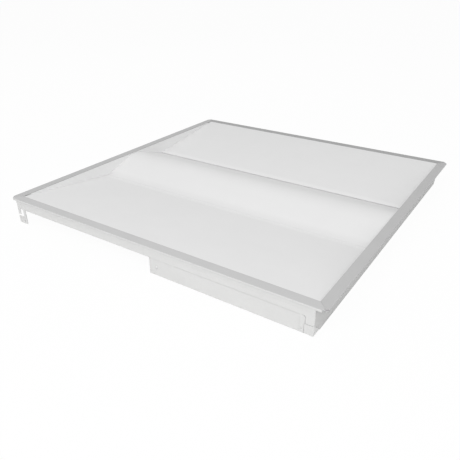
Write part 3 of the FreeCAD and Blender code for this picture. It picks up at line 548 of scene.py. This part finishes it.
def block(shape: bmesh.types.BMesh, low: Vector, high: Vector, rounding: float = 0.0) -> Verts:
    """Adds a block with rounded edges.

    Args:
        shape: The shape to add to.
        low: Its lowest corner in millimetres.
        high: Its highest corner in millimetres.
        rounding: The radius of its edges in millimetres.

    Returns:
        The new vertices.
    """
    before = set(shape.verts)
    size = Matrix.Diagonal((*(MM * (high - low)), 1.0))
    place = Matrix.Translation(MM * (low + high) / 2.0) @ size
    bmesh.ops.create_cube(shape, size=1.0, matrix=place)
    if rounding:
        edges = [edge for edge in shape.edges if edge.verts[0] not in before]
        bmesh.ops.bevel(shape, geom=edges, offset=MM * rounding, offset_type="OFFSET",
                        segments=2, profile=0.5, affect="EDGES", clamp_overlap=True,
                        material=-1)
    return [vert for vert in shape.verts if vert not in before]


def drawn(shape: bmesh.types.BMesh, faces: list[bmesh.types.BMFace], shift: Vector,
          closed: bool = False) -> None:
    """Draws faces out of a shape.

    Args:
        shape: The shape that holds the faces.
        faces: The faces to draw out.
        shift: How far they move, in metres.
        closed: Whether the operator is asked to leave the faces in place too, as a solid's end.
            It leaves them in either case, because their edges aren't passed to it.
    """
    made = bmesh.ops.extrude_face_region(shape, geom=faces, use_keep_orig=closed)["geom"]
    verts = [item for item in made if isinstance(item, bmesh.types.BMVert)]
    bmesh.ops.translate(shape, verts=verts, vec=shift)


def slotted(shape: bmesh.types.BMesh, verts: Verts, centre: Vector, out: Vector, along: Vector,
            half: float, depth: float) -> None:
    """Presses a driver slot into a round head.

    Args:
        shape: The shape that holds the head.
        verts: The head's vertices.
        centre: The middle of the head's top, in metres.
        out: The direction that the head's top looks in.
        along: The slot's direction.
        half: Half the slot's width in millimetres.
        depth: The slot's depth in millimetres.
    """
    across = out.cross(along).normalized()
    chosen = set(verts)
    for side in (-1.0, 1.0):
        geometry = [vert for vert in shape.verts if vert in chosen]
        geometry += [edge for edge in shape.edges if chosen.issuperset(edge.verts)]
        geometry += [face for face in shape.faces if chosen.issuperset(face.verts)]
        cut = bmesh.ops.bisect_plane(shape, geom=geometry, dist=CUT_TOLERANCE,
                                     plane_co=centre + side * MM * half * across,
                                     plane_no=across)
        chosen.update(item for item in cut["geom_cut"] if isinstance(item, bmesh.types.BMVert))
    top = []
    bmesh.ops.recalc_face_normals(shape, faces=shape.faces)
    for face in shape.faces:
        middle = face.calc_center_median() - centre
        inside = abs(middle.dot(across)) < MM * half and middle.dot(out) > -MM * depth
        if inside and chosen.issuperset(face.verts) and abs(face.normal.dot(out)) > FACING:
            top.append(face)
    drawn(shape, top, -MM * depth * out)


@dataclass
class Rivet:
    """The blind rivet near the compartment's left end. Sizes in millimetres.

    The dome's profile is given from the head's radius, and the pulled stem's from its own radius.
    """

    x: float = 32.7
    z: float = 13.5
    sheet_y: float = -299.5
    head: float = 2.6
    shank: float = 1.6
    grip: float = 1.6
    tail: Profile = ((0.0, -2.35), (1.3, -2.35), (1.8, -2.05), (1.8, -1.65))
    dome: Profile = ((0.0, 0.12), (-0.25, 0.42), (-0.8, 0.68), (-1.5, 0.78))
    stem: float = 0.62
    pulled: Profile = ((0.08, 0.72), (0.0, 0.35), (-0.12, 0.35), (-0.2, 0.52))
    stem_top: float = 0.56

    def build(self) -> None:
        """Builds the head, the shank and the upset tail in one turning."""
        shape = bmesh.new()
        outline = [*self.tail, (self.shank, -self.grip), (self.shank, 0.0), (self.head, 0.0),
                   *moved(self.dome, self.head, 0.0), *moved(self.pulled, self.stem, 0.0),
                   (0.0, self.stem_top)]
        centre = MM * Vector((self.x, self.sheet_y, self.z))
        spun(shape, outline, centre, Vector((0.0, -1.0, 0.0)))
        rivet = Piece("pulled_rivet", Body.FITTING, RIVET_METAL, "zinc_fastener", "box_rivet")
        rivet.keep(shape)


@dataclass
class HingePins:
    """The cover's two hinge pins, each with a domed head and a chamfered tip. In millimetres.

    The dome's profile is given from the head's radius and end, the tip's from the shank's.
    """

    centres: tuple[float, ...] = (61.7, 243.7)
    y: float = -230.4
    z: float = 1.8
    half: float = 13.8
    shank: float = 0.68
    tip: Profile = ((0.0, -0.35), (-0.25, 0.0))
    head: float = 1.15
    head_length: float = 0.8
    dome: Profile = ((-0.45, 0.0), (-0.12, 0.18), (0.0, 0.45))

    def build(self) -> None:
        """Turns both pins, with play in their knuckles."""
        shape = bmesh.new()
        end = -self.half - self.head_length
        outline = [(0.0, end), *moved(self.dome, self.head, end), (self.head, -self.half),
                   (self.shank, -self.half), *moved(self.tip, self.shank, self.half),
                   (0.0, self.half)]
        for x in self.centres:
            spun(shape, outline, MM * Vector((x, self.y, self.z)), Vector((1.0, 0.0, 0.0)),
                 SMALL_TURN_STEPS)
        pins = Piece("turned_hinge_pins", Body.FITTING, ZINC, "zinc_fastener", "hinge_pins")
        pins.keep(shape)


@dataclass
class CoverScrewThreads:
    """The threads of the cover's two captive screws. Sizes in millimetres."""

    places: tuple[Pair, ...] = ((53.7, -292.7), (251.7, -292.7))
    root: float = 1.86
    crest: float = 2.2
    start: float = 3.5
    pitch: float = 0.7
    flank: float = 0.35
    turns: int = 5
    steps: int = 16

    def build(self) -> None:
        """Winds one ridge up each shank, a share of the pitch wide on each side of its crest."""
        shape = bmesh.new()
        half = self.flank * self.pitch
        ridge = [(self.root, self.start - half), (self.crest, self.start),
                 (self.root, self.start + half)]
        for x, y in self.places:
            centre = MM * Vector((x, y, 0.0))
            line = [shape.verts.new(centre + MM * Vector((radius, 0.0, height)))
                    for radius, height in ridge]
            edges = [shape.edges.new((line[i], line[(i + 1) % 3])) for i in range(3)]
            shape.faces.new(line)
            made = bmesh.ops.spin(shape, geom=line + edges, cent=centre, axis=(0.0, 0.0, 1.0),
                                  dvec=(0.0, 0.0, MM * self.pitch / self.steps),
                                  angle=FULL_TURN * self.turns, steps=self.steps * self.turns)
            last = [item for item in made["geom_last"] if isinstance(item, bmesh.types.BMVert)]
            shape.faces.new(last)
        Piece("cover_screw_threads", Body.COVER, ZINC, "zinc_fastener").keep(shape)


@dataclass(frozen=True)
class Collar:
    """A tapered collar round a lead. Sizes in millimetres, and the taper is a share."""

    bore: float
    radius: float
    length: float
    sink: float = 0.1
    flare: float = 0.3
    flare_height: float = 0.4
    taper: float = 0.6
    tip: Profile = ((0.0, -0.2), (-0.15, 0.0))

    def build(self, shape: bmesh.types.BMesh, start: Vector, out: Vector) -> None:
        """Turns the collar.

        Args:
            shape: The shape to add to.
            start: The middle of its foot in millimetres.
            out: The direction that it stands out in.
        """
        narrow = self.bore + self.taper * (self.radius - self.bore)
        foot = (self.bore, -self.sink)
        outline = [foot, (self.radius + self.flare, -self.sink), (self.radius, self.flare_height),
                   *moved(self.tip, narrow, self.length), (self.bore, self.length), foot]
        spun(shape, outline, MM * start, out, SMALL_TURN_STEPS)


@dataclass
class DriverDetails:
    """The driver's lid, its crimped tabs, its end caps and their collars. Sizes in millimetres.

    The field's inset is how far its corners move in along their diagonals.
    """

    low: Vector = field(default_factory=lambda: Vector((87.7, -283.35, 5.5)))
    high: Vector = field(default_factory=lambda: Vector((257.7, -243.35, 27.5)))
    overlap: float = 0.1
    lid_rise: float = 0.4
    lid_inset: float = 2.0
    lid_rounding: float = 0.15
    field_inset: float = 3.0
    field_depth: float = 0.25
    tabs: int = 5
    tab_length: float = 6.0
    tab_heights: Pair = (2.0, 6.0)
    tab_out: float = 0.3
    tab_sink: float = 0.2
    tab_rounding: float = 0.12
    cap: float = 0.6
    cap_inset: float = 1.6
    cap_top_inset: float = 3.4
    cap_rounding: float = 0.2
    lead_y: tuple[float, ...] = (-270.35, -263.35, -256.35)
    lead_z: float = 19.3
    lead_collar: Collar = Collar(bore=1.15, radius=1.9, length=2.2)
    cable_y: float = -253.35
    cable_z: float = 17.0
    cable_collar: Collar = Collar(bore=1.85, radius=3.0, length=3.0)

    def build(self) -> None:
        """Builds the driver's details."""
        self.lid()
        self.crimps()
        self.caps()

    def lid(self) -> None:
        """The lid on the case's low side, with the field in its middle."""
        shape = bmesh.new()
        inset = Vector((self.lid_inset, self.lid_inset, 0.0))
        low = Vector((self.low.x, self.low.y, self.low.z - self.lid_rise)) + inset
        high = Vector((self.high.x, self.high.y, self.low.z + self.overlap)) - inset
        block(shape, low, high, self.lid_rounding)
        floor = min(shape.faces, key=lambda face: face.calc_center_median().z)
        bmesh.ops.inset_region(shape, faces=[floor], thickness=MM * self.field_inset)
        drawn(shape, [floor], Vector((0.0, 0.0, MM * self.field_depth)))
        Piece("driver_lid", Body.FITTING, DRIVER, "driver_enamel").keep(shape, sharp=0.9)

    def crimps(self) -> None:
        """The lid's tabs, crimped over the case's two long sides."""
        shape = bmesh.new()
        pitch = (self.high.x - self.low.x) / self.tabs
        half = self.tab_length / 2.0
        z0, z1 = (self.low.z + height for height in self.tab_heights)
        for i in range(self.tabs):
            x = self.low.x + pitch * (i + 0.5)
            for y0, y1 in ((self.low.y - self.tab_out, self.low.y + self.tab_sink),
                           (self.high.y - self.tab_sink, self.high.y + self.tab_out)):
                block(shape, Vector((x - half, y0, z0)), Vector((x + half, y1, z1)),
                      self.tab_rounding)
        Piece("driver_crimps", Body.FITTING, DRIVER, "driver_enamel").keep(shape, sharp=0.9)

    def caps(self) -> None:
        """The plate in each end of the case, with a collar round each lead."""
        shape = bmesh.new()
        y0, z0 = self.low.y + self.cap_inset, self.low.z + self.cap_inset
        y1, z1 = self.high.y - self.cap_inset, self.high.z - self.cap_top_inset
        for x0, x1 in ((self.low.x - self.cap, self.low.x + self.overlap),
                       (self.high.x - self.overlap, self.high.x + self.cap)):
            block(shape, Vector((x0, y0, z0)), Vector((x1, y1, z1)), self.cap_rounding)
        left = Vector((-1.0, 0.0, 0.0))
        for y in self.lead_y:
            start = Vector((self.low.x - self.cap, y, self.lead_z))
            self.lead_collar.build(shape, start, left)
        start = Vector((self.high.x + self.cap, self.cable_y, self.cable_z))
        self.cable_collar.build(shape, start, -left)
        Piece("driver_end_caps", Body.FITTING, BLACK_NYLON, "black_nylon").keep(shape)


@dataclass
class TerminalDetails:
    """The terminal block's screws, the wells round them and the ribs between its poles.

    Sizes in millimetres. A screw's slot lies at an angle in radians that is the sum of the
    screw's x and y, each multiplied by its turn share.
    """

    x0: float = 37.7
    x1: float = 65.7
    top: float = 13.5
    poles: tuple[float, ...] = (-270.35, -263.35, -256.35)
    pitch: float = 7.0
    rib_half: float = 0.4
    rib_margin: float = 0.4
    rib_depth: float = 1.2
    rib_rise: float = 0.1
    rib_rounding: float = 0.2
    well: Profile = ((2.1, 0.0), (2.1, 0.95), (2.25, 1.05), (2.6, 1.05), (2.75, 0.95), (2.75, 0.0))
    screw_x: tuple[float, ...] = (44.2, 59.2)
    screw: float = 1.9
    rise: float = 0.6
    sink: float = 0.1
    chamfer: float = 0.2
    slot_half: float = 0.3
    slot_depth: float = 0.35
    turn_shares: Pair = (0.7, 1.3)

    def build(self) -> None:
        """Builds the block's details."""
        self.ribs()
        self.screws()

    def ribs(self) -> None:
        """The ribs between the poles and the wells round the screws."""
        shape = bmesh.new()
        x0, x1 = self.x0 + self.rib_margin, self.x1 - self.rib_margin
        z0, z1 = self.top - self.rib_depth, self.top + self.rib_rise
        lines = [self.poles[0] - self.pitch / 2.0] + [y + self.pitch / 2.0 for y in self.poles]
        for y in lines:
            block(shape, Vector((x0, y - self.rib_half, z0)),
                  Vector((x1, y + self.rib_half, z1)), self.rib_rounding)
        down = Vector((0.0, 0.0, -1.0))
        for y in self.poles:
            for x in self.screw_x:
                spun(shape, [*self.well, self.well[0]], MM * Vector((x, y, self.top)), down,
                     SMALL_TURN_STEPS)
        Piece("terminal_ribs", Body.FITTING, NYLON, "connector_nylon").keep(shape)

    def screws(self) -> None:
        """The slotted clamping screws."""
        shape = bmesh.new()
        down = Vector((0.0, 0.0, -1.0))
        outline = [(self.screw, -self.sink), (self.screw, self.rise - self.chamfer),
                   (self.screw - self.chamfer, self.rise)]
        for y in self.poles:
            for x in self.screw_x:
                base = MM * Vector((x, y, self.top))
                verts = spun(shape, outline, base, down, SMALL_TURN_STEPS)
                rims = [edge for edge in shape.edges if edge.is_boundary]
                bmesh.ops.holes_fill(shape, edges=rims, sides=0)
                angle = self.turn_shares[0] * x + self.turn_shares[1] * y
                along = Vector((math.cos(angle), math.sin(angle), 0.0))
                slotted(shape, verts, base + MM * self.rise * down, down, along,
                        self.slot_half, self.slot_depth)
        Piece("terminal_screws", Body.FITTING, BRASS, "zinc_fastener").keep(shape, sharp=0.5)


@dataclass
class BushingFingers:
    """The snap fingers that hold the entry bushing behind the compartment's end wall.

    Sizes in millimetres. From the root on, a finger's outer side slopes down to its tip.
    """

    x: float = 20.55
    y: float = -263.35
    z: float = 13.75
    neck: float = 11.0
    sink: float = 0.2
    count: int = 8
    width: float = 3.0
    root: float = 1.0
    reach: float = 5.0
    barb: float = 0.7

    def build(self) -> None:
        """Builds each finger at the top and turns it round the bushing."""
        shape = bmesh.new()
        middle = MM * Vector((self.x, self.y, self.z))
        half = self.width / 2.0
        low = Vector((self.x, self.y - half, self.z + self.neck - self.sink))
        high = Vector((self.x + self.reach, self.y + half, self.z + self.neck + self.barb))
        for i in range(self.count):
            verts = block(shape, low, high)
            tip = [vert for vert in verts if vert.co.x > MM * (self.x + self.root)
                   and vert.co.z > middle.z + MM * self.neck]
            bmesh.ops.translate(shape, verts=tip, vec=(0.0, 0.0, -MM * self.barb))
            turn = Matrix.Rotation(FULL_TURN * (i + 0.5) / self.count, 3, "X")
            bmesh.ops.rotate(shape, verts=verts, cent=middle, matrix=turn)
        Piece("bushing_fingers", Body.FITTING, BLACK_NYLON, "black_nylon").keep(shape)


@dataclass
class ClosedEnds:
    """The turned edges that close the play between the laid-in sheets and the end plates.

    They reach from the inner to the outer distance from the middle, in millimetres.
    """

    inner: float = 285.4
    outer: float = 285.68
    sheets: dict[str, tuple[Finish, str]] = field(default_factory=lambda: {
        "side_panel_near": (REFLECTOR, "reflector_white"),
        "side_panel_far": (REFLECTOR, "reflector_white"),
        "centre_diffuser": (DIFFUSER, "frosted_diffuser")})

    def build(self) -> None:
        """Draws the ends of each sheet out to the end plates."""
        for node, (finish, slot) in self.sheets.items():
            shape = bmesh.new()
            shape.from_mesh(frame["nodes"][node].data)
            bmesh.ops.remove_doubles(shape, verts=shape.verts, dist=SHEET_WELD)
            rest = [face for face in shape.faces
                    if abs(abs(face.calc_center_median().x) - MM * self.inner) > END_TOLERANCE]
            bmesh.ops.delete(shape, geom=rest, context="FACES")
            for side in (-1.0, 1.0):
                ends = [face for face in shape.faces if side * face.calc_center_median().x > 0.0]
                shift = Vector((side * MM * (self.outer - self.inner), 0.0, 0.0))
                drawn(shape, ends, shift, closed=True)
            Piece(node + "_ends", Body.FITTING, finish, slot).keep(shape)


@dataclass(frozen=True)
class Lamp:
    """A square area lamp that looks at the origin, with its side in metres and power in watts."""

    name: str
    place: Triple
    side: float
    power: float

    def hang(self) -> None:
        """Adds the lamp to the scene."""
        data = bpy.data.lights.new(self.name, "AREA")
        data.shape = "SQUARE"
        data.size = self.side
        data.energy = self.power
        lamp = bpy.data.objects.new(self.name, data)
        lamp.location = self.place
        lamp.rotation_mode = "QUATERNION"
        origin = Vector((0.0, 0.0, 0.0))
        lamp.rotation_quaternion = (origin - Vector(self.place)).to_track_quat("-Z", "Y")
        bpy.context.scene.collection.objects.link(lamp)


@dataclass
class Studio:
    """The floor, the sky, the lamps and the camera.

    The floor's side and the eye's place are in metres, and its gap under the light in millimetres.
    The focal length is in pixels of the photograph, and the camera's three angles in degrees.
    The key lamp hangs in front, the fill and side lamps at the right, and the sheen lamp behind.
    """

    floor_side: float = 30.0
    floor_colour: float = 0.86
    floor_gap: float = 0.5
    floor_lift: float = 0.96
    sky: float = 0.45
    focal_px: float = 500.88
    eye: Vector = field(default_factory=lambda: Vector((0.4692, -0.75925, 0.40635)))
    yaw: float = 33.662
    pitch: float = 27.923
    roll: float = -0.194
    lamps: tuple[Lamp, ...] = (
        Lamp("key_lamp", (0.0, -1.70, 1.70), side=1.2, power=24.0),
        Lamp("fill_lamp", (1.30, -1.30, 1.54), side=1.2, power=11.5),
        Lamp("side_lamp", (2.32, 0.0, 0.62), side=1.2, power=7.5),
        Lamp("sheen_lamp", (-1.30, 1.00, 1.70), side=1.1, power=6.0))

    def build(self) -> None:
        """Builds everything round the light."""
        self.floor()
        self.world()
        for lamp in self.lamps:
            lamp.hang()
        self.camera()

    def camera(self) -> None:
        """Puts the camera at the photograph's place."""
        data = bpy.data.cameras.new("camera")
        data.sensor_width = SENSOR
        data.lens = SENSOR * self.focal_px / PHOTO_SIDE
        camera = bpy.data.objects.new("camera", data)
        bpy.context.scene.collection.objects.link(camera)
        yaw, pitch, roll = map(math.radians, (self.yaw, self.pitch, self.roll))
        back = Vector((math.sin(yaw) * math.cos(pitch), -math.cos(yaw) * math.cos(pitch),
                       math.sin(pitch)))
        level = Vector((math.cos(yaw), math.sin(yaw), 0.0))
        upright = back.cross(level)
        right = math.cos(roll) * level + math.sin(roll) * upright
        up = math.cos(roll) * upright - math.sin(roll) * level
        turn = Matrix((right, up, back)).transposed().to_4x4()
        camera.matrix_world = Matrix.Translation(self.eye) @ turn
        bpy.context.scene.camera = camera

    def floor(self) -> None:
        """Makes the pale floor, lifted to white for the camera but keeping the shadow."""
        mesh = bpy.data.meshes.new("floor")
        shape = bmesh.new()
        bmesh.ops.create_grid(shape, x_segments=1, y_segments=1, size=self.floor_side / 2.0)
        bmesh.ops.translate(shape, verts=shape.verts, vec=(0.0, 0.0, -MM * self.floor_gap))
        shape.to_mesh(mesh)
        shape.free()
        floor = bpy.data.objects.new("floor", mesh)
        bpy.context.scene.collection.objects.link(floor)
        material = bpy.data.materials.new("floor_white")
        material.use_nodes = True
        tree = material.node_tree
        tree.nodes.clear()
        diffuse = new_node(tree, "ShaderNodeBsdfDiffuse")
        feed(tree, diffuse.inputs["Color"], (self.floor_colour,) * 3)
        glow = new_node(tree, "ShaderNodeEmission")
        glow.inputs["Strength"].default_value = 1.0
        out = new_node(tree, "ShaderNodeOutputMaterial")
        self.show(tree, out, self.floor_lift, (diffuse, glow))
        mesh.materials.append(material)

    def world(self) -> None:
        """Makes a soft even sky that is white to the camera."""
        world = bpy.data.worlds.new("studio")
        bpy.context.scene.world = world
        world.use_nodes = True
        tree = world.node_tree
        tree.nodes.clear()
        skies = []
        for strength in (self.sky, 1.0):
            sky = new_node(tree, "ShaderNodeBackground")
            feed(tree, sky.inputs["Color"], (1.0, 1.0, 1.0))
            sky.inputs["Strength"].default_value = strength
            skies.append(sky)
        self.show(tree, new_node(tree, "ShaderNodeOutputWorld"), 1.0, skies)

    def show(self, tree: bpy.types.NodeTree, out: bpy.types.Node, share: float,
             shaders: tuple[bpy.types.Node, ...] | list[bpy.types.Node]) -> None:
        """Shows one shader to rays that look at the backdrop and another to all other rays.

        Args:
            tree: The node tree to build in.
            out: The tree's output.
            share: The backdrop shader's share for a ray that looks at it.
            shaders: The shader for all other rays, then the backdrop's.
        """
        mix = new_node(tree, "ShaderNodeMixShader")
        outputs = [shader.outputs[0] for shader in shaders]
        for socket, value in zip(mix.inputs, (self.seen_factor(tree, share), *outputs)):
            tree.links.new(value, socket)
        tree.links.new(mix.outputs[0], out.inputs["Surface"])

    def seen_factor(self, tree: bpy.types.NodeTree, share: float) -> Socket:
        """A factor for rays that look at the backdrop, straight or in gloss or glass.

        Args:
            tree: The node tree to build in.
            share: The factor for such a ray.

        Returns:
            The factor's socket.
        """
        path = new_node(tree, "ShaderNodeLightPath")
        total = path.outputs["Is Camera Ray"]
        for name in ("Is Glossy Ray", "Is Transmission Ray"):
            total = maths(tree, "MAXIMUM", total, path.outputs[name])
        return maths(tree, "MULTIPLY", total, share)


def main() -> None:
    """Builds the looks in order."""
    bpy.context.scene.view_settings.view_transform = "Standard"
    dress_nodes()
    for assembly in (Rivet(), HingePins(), CoverScrewThreads(), DriverDetails(),
                     TerminalDetails(), BushingFingers(), ClosedEnds()):
        assembly.build()
    Studio().build()


if __name__ == "__main__":
    main()
